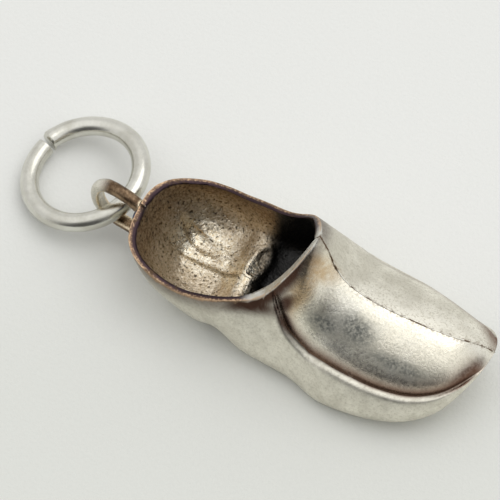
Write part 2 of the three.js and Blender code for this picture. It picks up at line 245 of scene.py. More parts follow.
def rim_sides(triangles, outward):
    starts = triangles.reshape(-1, 3)
    ends = np.roll(triangles, -1, axis=1).reshape(-1, 3)
    step = np.abs(ends - starts)
    level = (step[:, 0] < same_place) & (step[:, 2] < same_place)
    across = (step[:, 1] > narrowest_face) & (step[:, 1] < widest_face)
    on_rim = (starts[:, 2] > rim_lowest) & (starts[:, 0] < rim_ends_at)
    pairs = np.stack([starts, ends], axis=1)[level & across & on_rim]
    turned = pairs[:, 0, 1] * outward < pairs[:, 1, 1] * outward
    pairs[turned] = pairs[turned][:, ::-1]
    pairs = pairs[np.unique(np.round(pairs[:, 0, 0] / same_place), return_index=True)[1]]
    return pairs[:, 0], pairs[:, 1]


near_outer, near_inner = rim_sides(near_triangles, -1)
far_outer, far_inner = rim_sides(far_triangles, 1)
hollow_starts_at = near_outer[0, 0] + heel_wall_thickness
near_inner = near_inner[near_inner[:, 0] > hollow_starts_at]
far_inner = far_inner[far_inner[:, 0] > hollow_starts_at]
rim_outer = fill_in(np.vstack([near_outer[::-1], far_outer]))
rim_inner = fill_in(np.vstack([near_inner[::-1], far_inner]))
print("rim:", len(near_outer), "and", len(far_outer), "stations")

# %% [markdown]
# ## Landmarks: the inside
# A point of the skin is on the inside where its normal looks at the middle of the hollow, and on the
# outside where it looks away. The middle is a bent line from heel to toe, in millimetres.

# %% Inside and outside
hollow_axis = [np.array(p) * MM for p in ((-9.8, -0.2, 3.6), (-4.0, -0.4, 3.2), (6.5, -0.9, 2.8))]
outside_below = -0.15
inside_above = 0.35


def toward_axis(points):
    best = np.full(len(points), np.inf)
    result = np.zeros_like(points)
    for start, end in zip(hollow_axis, hollow_axis[1:]):
        along = end - start
        t = np.clip((points - start) @ along / (along @ along), 0, 1)
        offset = start + t[:, None] * along - points
        size = np.linalg.norm(offset, axis=1)
        nearer = size < best
        best[nearer] = size[nearer]
        result[nearer] = (offset / size[:, None])[nearer]
    return result


def insideness(piece):
    facing = np.sum(normals_of(piece) * toward_axis(points_of(piece)), axis=1)
    return smooth_step(facing, outside_below, inside_above)


# %% [markdown]
# ## Landmarks: the seam
# The seam is where both halves have the same points. Its outer edge will carry the solder. It belongs
# to triangles that have two corners on the seam and face away from the hollow's middle.

# %% The seam
near_corners = near_triangles.reshape(-1, 3)
far_corners = far_triangles.reshape(-1, 3)
on_seam = (distance_to(near_corners, far_corners) < same_place).reshape(-1, 3)
seam_points = np.unique(near_corners[on_seam.reshape(-1)].round(7), axis=0)
beside_seam = near_triangles[on_seam.sum(axis=1) == 2]
beside_flags = on_seam[on_seam.sum(axis=1) == 2]
first_side = beside_seam[:, 1] - beside_seam[:, 0]
second_side = beside_seam[:, 2] - beside_seam[:, 0]
face_normals = np.cross(first_side, second_side)
outer_face = np.sum(face_normals * toward_axis(beside_seam.mean(axis=1)), axis=1) < 0
outer_edges = zip(beside_seam[outer_face], beside_flags[outer_face])
outer_seam = np.vstack([fill_in(corners[flags]) for corners, flags in outer_edges])
print("seam:", len(seam_points), "points,", len(outer_seam), "along its outer edge")

# %% [markdown]
# ## The two half shells
# Each half was struck over a form and then soldered to the other along the ridge and the sole. The CAD
# halves have the right shape and are loose triangles, so each is copied, merged back into quads and
# subdivided. The seam edges get a full crease, so that the halves still meet, and the cut rim nearly
# one, so that it rounds only as much as a file and wear round it.

# %% Half shells
seam_crease = 1.0
rim_crease = 0.8
weld_distance = 0.002 * MM
flattest_fold = math.radians(50)
most_skew = math.radians(70)


def merged_copy(node, name):
    piece = frame["nodes"][node].copy()
    piece.data = piece.data.copy()
    piece.name = name
    piece.parent = None
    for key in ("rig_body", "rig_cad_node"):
        if key in piece:
            del piece[key]
    piece.data.materials.clear()
    bpy.context.scene.collection.objects.link(piece)

    def merge():
        bpy.ops.mesh.remove_doubles(threshold=weld_distance)
        bpy.ops.mesh.tris_convert_to_quads(face_threshold=flattest_fold, shape_threshold=most_skew)

    edit(piece, merge)
    return piece


def edges_between(piece, flags):
    return [edge.index for edge in piece.data.edges if all(flags[v] for v in edge.vertices)]


def shell_copy(node, name):
    piece = merged_copy(node, name)
    points = points_of(piece)
    on_seam = distance_to(points, seam_points) < same_place
    on_outer = distance_to(points, np.vstack([near_outer, far_outer])) < same_place
    on_inner = distance_to(points, np.vstack([near_inner, far_inner])) < same_place
    seam_edges = edges_between(piece, on_seam)
    rim_edges = edges_between(piece, on_outer) + edges_between(piece, on_inner)
    edit_some(piece, "EDGE", rim_edges, lambda: bpy.ops.transform.edge_crease(value=rim_crease))
    edit_some(piece, "EDGE", seam_edges, lambda: bpy.ops.transform.edge_crease(value=seam_crease))
    return piece


near_shell = shell_copy("right_half_shell", "near_half_skin")
far_shell = shell_copy("left_half_shell", "far_half_skin")
shells = (near_shell, far_shell)
for shell in shells:
    print(shell.name, len(shell.data.vertices), "points,", len(shell.data.polygons), "faces")

# %% [markdown]
# ## The line of the welt groove
# Where the vamp rolls in over the welt there is a groove that holds dirt. At each station along the
# shoe it is the point of the outer skin that lies furthest below its neighbours.

# %% Welt groove
groove_starts_at = -3.1 * MM
groove_lowest = 1.2 * MM
groove_off_rim = 0.3 * MM
groove_least_depth = 0.012 * MM
surely_outside = 0.1


def groove_line_of(piece):
    points, normals = points_of(piece), normals_of(piece)
    total, count = np.zeros_like(points), np.zeros(len(points))
    for edge in piece.data.edges:
        a, b = edge.vertices
        total[a] += points[b]
        total[b] += points[a]
        count[a] += 1
        count[b] += 1
    sunk = np.sum((total / count[:, None] - points) * normals, axis=1)
    fits = (insideness(piece) < surely_outside) & (sunk > groove_least_depth)
    fits &= (points[:, 0] > groove_starts_at) & (points[:, 2] > groove_lowest)
    fits &= distance_to(points, rim_outer) > groove_off_rim
    stations = {}
    for i in np.flatnonzero(fits):
        key = round(points[i, 0] / same_place)
        if key not in stations or sunk[i] > sunk[stations[key]]:
            stations[key] = i
    return fill_in(points[sorted(stations.values(), key=lambda i: points[i, 0])])


groove = np.vstack([groove_line_of(shell) for shell in shells])
print("groove:", len(groove), "points, from", groove.min(axis=0).round(5), "to", groove.max(axis=0).round(5))

# %% [markdown]
# ## Subdividing, and the marks of the hammer
# Two levels of subdivision split each face in sixteen. The shape of a struck shell isn't perfect, so a
# soft cloud pattern lifts and sinks the skin by a few hundredths of a millimetre. Inside, the metal is
# coarse and pitted. Near the seam the push fades out, so that the halves stay together, and inside it
# also fades out towards the rim.

# %% Skin relief
hand_work_size, hand_work_depth = 2.8, 0.07
coarse_size, coarse_depth = 0.45, 0.08
off_seam_reach = (0.2, 0.9)
off_rim_reach = (0.1, 0.6)


def add_relief(piece, name, size_mm, depth_mm, group=None):
    texture = bpy.data.textures.new(name, "CLOUDS")
    texture.noise_scale = size_mm * MM
    texture.noise_depth = 2
    relief = piece.modifiers.new(name, "DISPLACE")
    relief.texture = texture
    relief.texture_coords = "LOCAL"
    relief.strength = depth_mm * MM
    if group:
        relief.vertex_group = group


def subdivide(piece):
    fine = piece.modifiers.new("fine", "SUBSURF")
    fine.levels = fine.render_levels = 2
    apply_modifiers(piece)


def weigh(piece, name, weights):
    group = piece.vertex_groups.new(name=name)
    for i, weight in enumerate(weights):
        group.add([i], float(weight), "REPLACE")


for shell in shells:
    subdivide(shell)
    points = points_of(shell)
    inside = insideness(shell)
    off_seam = fade_in(distance_to(points, seam_points), *off_seam_reach)
    off_rim = fade_in(distance_to(points, rim_inner), *off_rim_reach)
    weigh(shell, "outer", (1 - inside) * off_seam)
    weigh(shell, "inner", inside * off_seam * off_rim)
    add_relief(shell, "hand_work", hand_work_size, hand_work_depth, "outer")
    add_relief(shell, "coarse_metal", coarse_size, coarse_depth, "inner")
    apply_modifiers(shell)
    print(shell.name, len(shell.data.polygons), "faces after subdividing")

# %% [markdown]
# ## Two worn ovals in the heel
# The bottom of the hollow is dented in two places. Each dent is a shallow oval dish with a raised lip,
# pushed into the wall by moving the points of the inner skin. Sizes are in millimetres and turns in
# degrees. The lip stands just outside the dish, and both fade out up the wall.

# %% Worn ovals
ovals = [
    dict(centre=(-9.5, 1.15), half_length=1.7, half_width=0.58, turn=-16, lip=0.08, dish=0.14),
    dict(centre=(-5.6, 1.0), half_length=1.2, half_width=0.45, turn=80, lip=0.16, dish=0.12),
]
dish_slope = (0.5, 0.95)
lip_at = 1.1
lip_breadth = 0.18
bottom_reach = (2.2, 3.2)


def press_ovals(piece):
    points, normals = points_of(piece), normals_of(piece)
    at_bottom = insideness(piece) * fade_out(points[:, 2], *bottom_reach)
    push = np.zeros(len(points))
    for oval in ovals:
        turn = math.radians(oval["turn"])
        x = points[:, 0] - oval["centre"][0] * MM
        y = points[:, 1] - oval["centre"][1] * MM
        along = (x * math.cos(turn) + y * math.sin(turn)) / (oval["half_length"] * MM)
        across = (y * math.cos(turn) - x * math.sin(turn)) / (oval["half_width"] * MM)
        reach = np.sqrt(along**2 + across**2)
        push -= oval["dish"] * MM * (1 - smooth_step(reach, *dish_slope))
        push += oval["lip"] * MM * np.exp(-(((reach - lip_at) / lip_breadth) ** 2))
    move_points(piece, points + normals * (push * at_bottom)[:, None])


sharp_above = math.radians(45)
for shell in shells:
    press_ovals(shell)
    only(shell)
    bpy.ops.object.shade_smooth_by_angle(angle=sharp_above)
print("ovals pressed:", len(ovals))

# %% [markdown]
# ## Stains and painted light, placed one by one
# A few stains have no rule behind them, so they are placed as soft cigar shapes in space. Each has its
# middle, the way it runs, and half its length and width, in millimetres. Grey ones are painted dark
# reflections on the vamp, warm ones tan it by the throat, smut lies below them, and silver ones are
# where the hollow's bottom is rubbed, with a painted highlight.

# %% Stains and painted light
# Painted dark reflections on the vamp.
dark_reflection_patches = [
    ((0.8, -3.45, 5.6), (1, -0.1, -0.2), 1.2, 0.6),
    ((2.7, -3.05, 5.5), (1, -0.2, -0.3), 1.3, 0.9),
    ((5.6, -3.8, 4.6), (1, 0.0, -0.15), 2.1, 0.5),
    ((9.6, -2.1, 3.9), (0.5, 0.85, 0.1), 1.3, 0.4),
]
warm_patches = [
    ((-0.4, -1.6, 8.4), (0.5, 0.3, -0.8), 1.5, 0.7),
    ((-1.0, -2.8, 7.4), (0.2, 0.6, 0.7), 2.0, 0.7),
]
smut_patches = [
    ((-1.9, -3.6, 6.0), (0.5, 0.3, 0.8), 1.3, 0.5),
    ((-3.8, -3.85, 4.9), (1, 0, 0.3), 1.7, 0.6),
    ((-1.6, -4.1, 5.0), (0.6, -0.1, -0.8), 1.3, 0.5),
]
# Rubbed bare metal with a painted highlight, on the hollow's bottom.
bare_and_highlight_patches = [
    ((-9.2, 0.8, 0.6), (1, -0.2, -0.1), 3.0, 1.9),
    ((-6.4, 0.0, 1.1), (1, 0.4, 0), 1.6, 1.6),
]
patch_softness = 0.6


def patch(points, centre, along, half_length, half_width):
    along = np.array(along) / np.linalg.norm(along)
    offset = points / MM - np.array(centre)
    forward = offset @ along
    sideways = np.sqrt(np.maximum(np.sum(offset**2, axis=1) - forward**2, 0))
    reach = np.sqrt((forward / half_length) ** 2 + (sideways / half_width) ** 2)
    return 1 - smooth_step(reach, 1 - patch_softness, 1 + patch_softness)


def all_patches(points, patches):
    return np.max([patch(points, *p) for p in patches], axis=0)


# %% [markdown]
# ## Numbers for the finishes
# The finishes are procedural, but they must know where they are: on the cut face of the rim, under the
# rim, in the groove, on the vamp above it. These places are stored on the points, each as a share from
# 0 to 1. Each mark that follows a line is full up to one distance from it and gone past another, in
# millimetres. A few also start or end at a station along the shoe.

# %% Places
reaches = {
    "cut": (0.05, 0.16),
    "under_rim": (0.1, 1.5),
    "edge": (0.02, 0.09),
    "roll": (0.15, 1.7),
    "groove": (0.03, 0.25),
    "ridge": (0.04, 0.22),
    "lip_smut": (0.35, 1.3),
}
above_groove = (-0.03, 0.03)
vamp_starts = (-3.6, -3.0)
lip_smut_starts = (-7.5, -4.5)
lip_smut_ends = (-1.6, -0.3)
near_filed_from = (-4.8, -3.9)
far_filed_from = (-1.7, -1.1)
never_zero = 1e-9


def mark_places(piece, filed_from):
    points = points_of(piece)
    to_outer, at_outer = nearest(points, rim_outer)
    to_inner, at_inner = nearest(points, rim_inner)
    to_groove, at_groove = nearest(points, groove)
    to_ridge = distance_to(points, outer_seam)
    face_width = np.linalg.norm(rim_outer[at_outer] - rim_inner[at_inner], axis=1)
    off_face = to_outer + to_inner - face_width
    vamp = fade_in(points[:, 2] - groove[at_groove, 2], *above_groove)
    vamp *= fade_in(points[:, 0], *vamp_starts)
    lip_smut = fade_in(points[:, 0], *lip_smut_starts) * (points[:, 1] < 0)
    lip_smut *= fade_out(points[:, 0], *lip_smut_ends) * fade_out(to_outer, *reaches["lip_smut"])
    store(piece, "inside", insideness(piece))
    store(piece, "cut", fade_out(off_face, *reaches["cut"]))
    store(piece, "across", to_outer / (to_outer + to_inner + never_zero))
    store(piece, "under_rim", fade_out(to_outer, *reaches["under_rim"]))
    store(piece, "edge", fade_out(to_outer, *reaches["edge"]))
    store(piece, "filed", fade_in(points[:, 0], *filed_from))
    store(piece, "vamp", vamp)
    store(piece, "roll", vamp * fade_out(to_groove, *reaches["roll"]))
    store(piece, "groove", fade_out(to_groove, *reaches["groove"]))
    store(piece, "ridge", fade_out(to_ridge, *reaches["ridge"]))
    store(piece, "dark_reflection_patch", all_patches(points, dark_reflection_patches))
    store(piece, "warm_patch", all_patches(points, warm_patches))
    store(piece, "smut_patch", np.maximum(lip_smut, all_patches(points, smut_patches)))
    store(piece, "bare_and_highlight_patch", all_patches(points, bare_and_highlight_patches))


for shell, filed_from in ((near_shell, near_filed_from), (far_shell, far_filed_from)):
    mark_places(shell, filed_from)
    print(shell.name, "places:", ", ".join(a.name for a in shell.data.attributes if a.domain == "POINT"))

# %% [markdown]
# ## Solder along the seam
# The halves meet edge to edge, and the solder between them stands a hair proud of the ridge where the
# file missed it. It is made as by hand: the edge loop round the seam face is lifted off a merged copy,
# cut down to its outer run, turned into a curve with a thin round bevel, and back into a mesh.

# %% Seam solder
solder_thickness = 0.09 * MM
solder_bumps_size, solder_bumps_depth = 0.5, 0.04
off_outer_run = 0.02 * MM
seam_solder = merged_copy("right_half_shell", "seam_solder")
on_seam = distance_to(points_of(seam_solder), seam_points) < same_place
seam_faces = [f.index for f in seam_solder.data.polygons if all(on_seam[v] for v in f.vertices)]


def keep_border():
    bpy.ops.mesh.region_to_loop()
    bpy.ops.mesh.select_all(action="INVERT")
    bpy.ops.mesh.delete(type="EDGE")


edit_some(seam_solder, "FACE", seam_faces, keep_border)
inner_run = np.flatnonzero(distance_to(points_of(seam_solder), outer_seam) > off_outer_run)
edit_some(seam_solder, "VERT", inner_run.tolist(), lambda: bpy.ops.mesh.delete(type="VERT"))
print("seam run:", len(seam_solder.data.edges), "edges")
bpy.ops.object.convert(target="CURVE")
seam_solder = bpy.context.object
seam_solder.data.bevel_depth = solder_thickness / 2
seam_solder.data.bevel_resolution = 2
seam_solder.data.use_fill_caps = True
bpy.ops.object.convert(target="MESH")
seam_solder = bpy.context.object
add_relief(seam_solder, "filed_solder", solder_bumps_size, solder_bumps_depth)
apply_modifiers(seam_solder)
move_points(seam_solder, points_of(seam_solder))
only(seam_solder)
bpy.ops.object.shade_smooth()

# %% [markdown]
# ## The bail
# The bail is a half-round strip bent to a U. Its CAD solid has the true section and bend, so a merged
# copy is subdivided, and a fine cloud pattern gives it the uneven face of hand-drawn strip. How far each
# point is from the strip's edges is kept, because the edges are where the tarnish is rubbed off and where
# a highlight is painted.

# %% Bail
strip_angle = math.radians(40)
strip_crease = 0.5
drawn_size, drawn_depth = 0.5, 0.04
edge_wear_and_highlight_reach = (0.02, 0.14)
bail = merged_copy("bail", "bail_strip")


def crease_strip_edges():
    bpy.ops.mesh.select_mode(type="EDGE")
    bpy.ops.mesh.select_all(action="DESELECT")
    bpy.ops.mesh.edges_select_sharp(sharpness=strip_angle)
    bpy.ops.transform.edge_crease(value=strip_crease)


edit(bail, crease_strip_edges)
creases = bail.data.attributes["crease_edge"].data
strip_edges = [e for e in bail.data.edges if creases[e.index].value > 0]
bail_points = points_of(bail)
edge_line = np.vstack([fill_in(bail_points[list(edge.vertices)]) for edge in strip_edges])
subdivide(bail)
add_relief(bail, "drawn_strip", drawn_size, drawn_depth)
apply_modifiers(bail)
store(bail, "edge", fade_out(distance_to(points_of(bail), edge_line), *edge_wear_and_highlight_reach))
only(bail)
bpy.ops.object.shade_smooth()
print("bail:", len(bail.data.polygons), "faces,", len(strip_edges), "edges kept crisp")

# %% [markdown]
# ## Beads of solder
# Where the legs of the bail meet the heel, the solder ran and froze as a lumpy collar. Each starts as a
# merged copy of its solid, so that it sits on the heel, and is remeshed and melted with a cloud pattern.

# %% Solder beads
bead_voxel = 0.05 * MM
melt_rounds = 4
frozen_size, frozen_depth = 0.4, 0.08


def solder_bead(node, name):
    bead = merged_copy(node, name)
    remesh = bead.modifiers.new("even", "REMESH")
    remesh.mode = "VOXEL"
    remesh.voxel_size = bead_voxel
    melt = bead.modifiers.new("melt", "SMOOTH")
    melt.iterations = melt_rounds
    apply_modifiers(bead)
    add_relief(bead, "frozen", frozen_size, frozen_depth)
    apply_modifiers(bead)
    only(bead)
    bpy.ops.object.shade_smooth()
    print(name, len(bead.data.polygons), "faces")
    return bead


upper_bead = solder_bead("upper_solder_bead", "upper_solder")
lower_bead = solder_bead("lower_solder_bead", "lower_solder")

# %% [markdown]
# ## The jump ring: its place
# The ring is round wire wound on a rod and sawn through, and it hangs in the bail with its cut away
# from it. Its place comes from the frame: its middle is a mount, and the hinge lies in the middle of
# the wire, along it. From these two come the ring's radius and the way that its axis points.

# %% Ring place
wire_radius = 0.6 * MM
saw_gap = 0.28 * MM
cut_at = math.radians(184)
hang = next(mount for mount in frame["record"]["mounts"] if mount["name"] == "ring_hang")
hinge = frame["joints"][0]
ring_middle = Vector(hang["pos_m"])
to_bail = Vector(hinge["pos_m"]) - ring_middle
ring_radius = to_bail.length
to_bail.normalize()
along_wire = Vector(hinge["axis"]).normalized()
ring_up = to_bail.cross(along_wire).normalized()
half_gap = saw_gap / 2 / ring_radius
wound_angle = 2 * math.pi - 2 * half_gap
first_end = cut_at + half_gap
print("ring: radius", round(ring_radius / MM, 2), "mm")

# %% [markdown]
# ## The jump ring: winding the wire
# A filled circle of the wire's size is spun nearly all the way round, so that both ends are flat, as a
# saw leaves them. The doubles are merged and the faces turned outwards.

# %% Ring wire
ring_steps = 144
wire_sides = 32


def around(turn):
    return to_bail * math.cos(turn) + along_wire * math.sin(turn)


outward, tangent = around(first_end), around(first_end + math.pi / 2)
section_turn = Matrix((outward, tangent.cross(outward), tangent)).transposed()
bpy.ops.mesh.primitive_circle_add(
    vertices=wire_sides,
    radius=wire_radius,
    fill_type="NGON",
    location=ring_middle + outward * ring_radius,
    rotation=section_turn.to_euler(),
)
ring = bpy.context.object
ring.name = "jump_ring_wire"
bpy.ops.object.transform_apply()


def wind_wire():
    bpy.ops.mesh.spin(steps=ring_steps, angle=wound_angle, center=ring_middle, axis=ring_up)
    bpy.ops.mesh.select_all(action="SELECT")
    bpy.ops.mesh.remove_doubles(threshold=weld_distance)
    bpy.ops.mesh.normals_make_consistent(inside=False)


edit(ring, wind_wire)

# %% [markdown]
# ## The jump ring: the sprung end
# The ring was opened once, so the last fifth of the wire lifts, slowly at first, until its end stands
# 0.22 mm off. The sharp edges that the saw left are then broken with a small bevel.

# %% Ring ends
end_lift = 0.22 * MM
lifted_share = 0.2
just_past_end = 1e-6
saw_edge_angle = math.radians(60)
saw_edge_round = 0.05 * MM
ring_sharp_above = math.radians(35)
points = points_of(ring)
out = points - np.array(ring_middle)
turns = np.arctan2(out @ np.array(along_wire), out @ np.array(to_bail)) - first_end
share = np.mod(turns + just_past_end, 2 * math.pi) / wound_angle
lift = end_lift * np.clip(1 - (1 - share) / lifted_share, 0, 1) ** 2
move_points(ring, points + lift[:, None] * np.array(ring_up))


def break_saw_edges():
    bpy.ops.mesh.select_mode(type="EDGE")
    bpy.ops.mesh.select_all(action="DESELECT")
    bpy.ops.mesh.edges_select_sharp(sharpness=saw_edge_angle)
    bpy.ops.mesh.bevel(offset=saw_edge_round, segments=2)


edit(ring, break_saw_edges)
only(ring)
bpy.ops.object.shade_smooth_by_angle(angle=ring_sharp_above)
print("ring:", len(ring.data.polygons), "faces")

# %% [markdown]
# ## A small kit for finishes
# Every finish is a procedural material. Its patterns are read in millimetres, from the object's own
# coordinates, so that a grain has a real size.

# %% Finish kit
class Finish:
    def __init__(self, name, metallic=1.0):
        self.material = bpy.data.materials.new(name)
        self.material.use_nodes = True
        self.nodes = self.material.node_tree.nodes
        self.links = self.material.node_tree.links
        self.shader = self.nodes["Principled BSDF"]
        self.shader.inputs["Metallic"].default_value = metallic
        place = self.nodes.new("ShaderNodeTexCoord")
        scale = self.nodes.new("ShaderNodeMapping")
        scale.inputs["Scale"].default_value = (1 / MM, 1 / MM, 1 / MM)
        self.links.new(place.outputs["Object"], scale.inputs["Vector"])
        self.place = scale.outputs["Vector"]

    def feed(self, socket, value):
        if isinstance(value, bpy.types.NodeSocket):
            self.links.new(value, socket)
        elif isinstance(value, tuple) and len(value) == 3 and socket.type == "RGBA":
            socket.default_value = (*value, 1)
        else:
            socket.default_value = value

    def noise(self, grain_mm, detail=3.0, roughness=0.55, shift=0.0, warp=0.0):
        node = self.nodes.new("ShaderNodeTexNoise")
        node.noise_dimensions = "4D"
        node.inputs["W"].default_value = shift
        node.inputs["Scale"].default_value = 1 / grain_mm
        node.inputs["Detail"].default_value = detail
        node.inputs["Roughness"].default_value = roughness
        node.inputs["Distortion"].default_value = warp
        self.links.new(self.place, node.inputs["Vector"])
        return node.outputs["Fac"]

    def spots(self, grain_mm, shift=0.0):
        node = self.nodes.new("ShaderNodeTexVoronoi")
        node.voronoi_dimensions = "4D"
        node.inputs["W"].default_value = shift
        node.inputs["Scale"].default_value = 1 / grain_mm
        self.links.new(self.place, node.inputs["Vector"])
        return node.outputs["Distance"]

    def attribute(self, name):
        node = self.nodes.new("ShaderNodeAttribute")
        node.attribute_name = name
        return node.outputs["Fac"]

    def axis(self, name):
        node = self.nodes.new("ShaderNodeSeparateXYZ")
        self.links.new(self.place, node.inputs["Vector"])
        return node.outputs[name]

    def ramp(self, value, low, high, start=0.0, end=1.0):
        node = self.nodes.new("ShaderNodeMapRange")
        node.interpolation_type = "SMOOTHSTEP"
        node.inputs["From Min"].default_value = low
        node.inputs["From Max"].default_value = high
        node.inputs["To Min"].default_value = start
        node.inputs["To Max"].default_value = end
        self.feed(node.inputs["Value"], value)
        return node.outputs["Result"]

    def maths(self, operation, first, second=0.0):
        node = self.nodes.new("ShaderNodeMath")
        node.operation = operation
        self.feed(node.inputs[0], first)
        self.feed(node.inputs[1], second)
        return node.outputs[0]

    def times(self, *values):
        result = values[0]
        for value in values[1:]:
            result = self.maths("MULTIPLY", result, value)
        return result

    def colour(self, share, under, over):
        node = self.nodes.new("ShaderNodeMix")
        node.data_type = "RGBA"
        self.feed(node.inputs[0], share)
        self.feed(node.inputs[6], under)
        self.feed(node.inputs[7], over)
        return node.outputs[2]

    def number(self, share, under, over):
        node = self.nodes.new("ShaderNodeMix")
        node.data_type = "FLOAT"
        self.feed(node.inputs[0], share)
        self.feed(node.inputs[2], under)
        self.feed(node.inputs[3], over)
        return node.outputs[0]

    def bump(self, height, depth_mm, normal=None):
        node = self.nodes.new("ShaderNodeBump")
        node.inputs["Distance"].default_value = depth_mm * MM
        self.feed(node.inputs["Height"], height)
        if normal:
            self.links.new(normal, node.inputs["Normal"])
        return node.outputs["Normal"]

    def paint(self, colour=None, roughness=None, normal=None):
        wanted = {"Base Color": colour, "Roughness": roughness, "Normal": normal}
        for name, value in wanted.items():
            if value is not None:
                self.feed(self.shader.inputs[name], value)
        return self.material


def dress(piece, material):
    piece.data.materials.clear()
    piece.data.materials.append(material)
    print(piece.name, "wears", material.name)


# %% [markdown]
# ## Tarnished silver
# Silver goes yellow, then copper brown, then purple-blue and at last black as its tarnish thickens.
# Touch keeps the high places bright. These are the metal's own colours, from bare to black, beside a
# cream that is partly painted highlight, a grey of painted dark reflection and a black of painted shadow.

# %% Colours of silver and tarnish
# This cream is polished silver with a painted highlight, for the near vamp's top.
cream_highlight_tint = (0.97, 0.92, 0.78)
silver_light = (0.93, 0.90, 0.80)
silver_wall = (0.86, 0.83, 0.73)
silver_dull = (0.68, 0.65, 0.56)
# This grey is painted dark reflection, for patches on the vamp.
reflection_grey = (0.19, 0.195, 0.18)
silver_speck = (0.50, 0.47, 0.38)
filed_grey = (0.76, 0.75, 0.71)
tarnish_tan = (0.62, 0.43, 0.23)
tarnish_brown = (0.17, 0.085, 0.055)
tarnish_smut = (0.075, 0.04, 0.028)
tarnish_dark = (0.085, 0.055, 0.035)
tarnish_purple = (0.055, 0.036, 0.042)
# This black is painted shadow, for the hollow under the vamp.
toe_shadow_black = (0.045, 0.044, 0.043)
copper = (0.15, 0.095, 0.07)
edge_gold = (0.58, 0.40, 0.25)

# %% [markdown]
# ## The outer skin
# The finish is built in layers, from the metal up: beige walls and a creamier vamp, whose cream on the near
# half is partly a painted highlight, dark specks, grey patches of painted dark reflection, tan patches, a
# brown band where the vamp rolls into the groove that is partly tarnish and partly painted shade, smut under
# the rim, dirt in the groove itself, and last a broken brown line along the ridge. Each layer is broken up
# by a cloud of fine or coarse grain, so that it has no clean edge.

# %% Outer skin
def outer_skin(finish, seed, top_tone_and_highlight, side_dullness):
    broad = finish.noise(3.0, 3, 0.55, seed)
    blot = finish.noise(0.9, 5, 0.65, seed + 3)
    grain = finish.noise(0.17, 3, 0.6, seed + 5)
    fine = finish.noise(0.07, 2, 0.5, seed + 7)
    side = finish.colour(finish.ramp(blot, 0.3, 0.7), silver_wall, silver_dull)
    # On the near half the top's second colour is polished cream with a painted highlight.
    top = finish.colour(finish.ramp(broad, 0.38, 0.62), silver_light, top_tone_and_highlight)
    skin = finish.colour(finish.attribute("vamp"), side, top)
    speck = finish.ramp(finish.maths("ADD", grain, fine), 0.98, 1.2)
    skin = finish.colour(finish.times(speck, side_dullness), skin, silver_speck)
    # Painted dark reflection: grey patches on the vamp.
    painted_reflection = finish.times(finish.attribute("dark_reflection_patch"), finish.ramp(grain, 0.32, 0.62, 0.45, 1.0))
    skin = finish.colour(painted_reflection, skin, reflection_grey)
    warm = finish.times(finish.attribute("warm_patch"), finish.ramp(blot, 0.2, 0.6))
    skin = finish.colour(finish.times(warm, 0.85), skin, tarnish_tan)
    # The brown where the vamp rolls under is tarnish and painted shade of the down-turned surface.
    past_lip = finish.ramp(finish.axis("X"), -2.8, -1.0, 0.3, 1.0)
    roll = finish.times(finish.attribute("roll"), past_lip, finish.ramp(blot, 0.0, 0.45, 0.5, 1.0))
    skin = finish.colour(finish.times(roll, 0.95), skin, tarnish_brown)
    under_rim = finish.times(finish.attribute("under_rim"), 0.7)
    smut = finish.maths("MAXIMUM", under_rim, finish.attribute("smut_patch"))
    smut = finish.times(smut, finish.ramp(blot, 0.05, 0.45, 0.45, 1.0))
    skin = finish.colour(smut, skin, tarnish_smut)
    dirt = finish.times(finish.attribute("groove"), past_lip, finish.ramp(blot, 0.2, 0.5))
    skin = finish.colour(finish.times(dirt, 0.5), skin, tarnish_dark)
    ridge = finish.times(finish.attribute("ridge"), finish.ramp(grain, 0.45, 0.6))
    return finish.colour(finish.times(ridge, 0.6), skin, tarnish_brown)


# %% [markdown]
# ## The hollow
# Nothing polishes the hollow, so it is brown and grainy, with black specks in its pits. Its bottom is
# rubbed bare in places, more so low down than high up, and there it also carries a painted highlight.
# Past the middle of the mouth a painted shadow turns it black, all the way to the toe.

# %% Hollow
hollow_brown = (0.25, 0.17, 0.10)
hollow_tan = (0.52, 0.39, 0.25)
bare_gold = (0.72, 0.60, 0.41)
bare_silver_and_highlight = (0.97, 0.91, 0.77)
hollow_speck = (0.05, 0.035, 0.02)


def hollow_skin(finish, seed):
    blot = finish.noise(0.8, 5, 0.65, seed + 13)
    grain = finish.noise(0.14, 3, 0.6, seed + 15)
    specks = finish.noise(0.2, 3, 0.6, seed + 17)
    height = finish.ramp(finish.axis("Z"), 1.0, 4.0)
    # Rubbed bare metal with a painted highlight, on the listed patches and more so low down.
    rubbed_and_lit = finish.maths("MAXIMUM", finish.attribute("bare_and_highlight_patch"), finish.ramp(height, 1.0, 0.0, 0.0, 0.5))
    rubbed_and_lit = finish.times(rubbed_and_lit, finish.ramp(blot, 0.25, 0.6, 0.5, 1.0))
    skin = finish.colour(finish.ramp(grain, 0.35, 0.65), hollow_brown, hollow_tan)
    bare_and_highlight = finish.colour(finish.ramp(grain, 0.35, 0.6), bare_gold, bare_silver_and_highlight)
    skin = finish.colour(rubbed_and_lit, skin, bare_and_highlight)
    skin = finish.colour(finish.times(finish.ramp(specks, 0.54, 0.66), 0.9), skin, hollow_speck)
    # Painted shadow: black past the middle of the mouth, towards the toe.
    painted_toe_shadow = finish.ramp(finish.axis("X"), -5.8, -4.9)
    return finish.colour(painted_toe_shadow, skin, toe_shadow_black)


# %% [markdown]
# ## The cut rim
# The cut face is speckled gold and copper towards the outside and purple towards the hollow. Beside the
# throat a file went over it, and there it is grey.

# %% Cut rim
def cut_face(finish, seed):
    blot = finish.noise(0.5, 4, 0.6, seed + 21)
    grain = finish.noise(0.13, 3, 0.6, seed + 25)
    speckled = finish.colour(finish.ramp(grain, 0.48, 0.62), copper, edge_gold)
    to_inside = finish.ramp(finish.attribute("across"), 0.25, 0.6)
    tarnished = finish.colour(to_inside, speckled, tarnish_purple)
    tarnished = finish.colour(finish.ramp(blot, 0.52, 0.66), tarnished, tarnish_dark)
    filed = finish.colour(finish.ramp(blot, 0.35, 0.7), filed_grey, silver_dull)
    return finish.colour(finish.attribute("filed"), tarnished, filed)
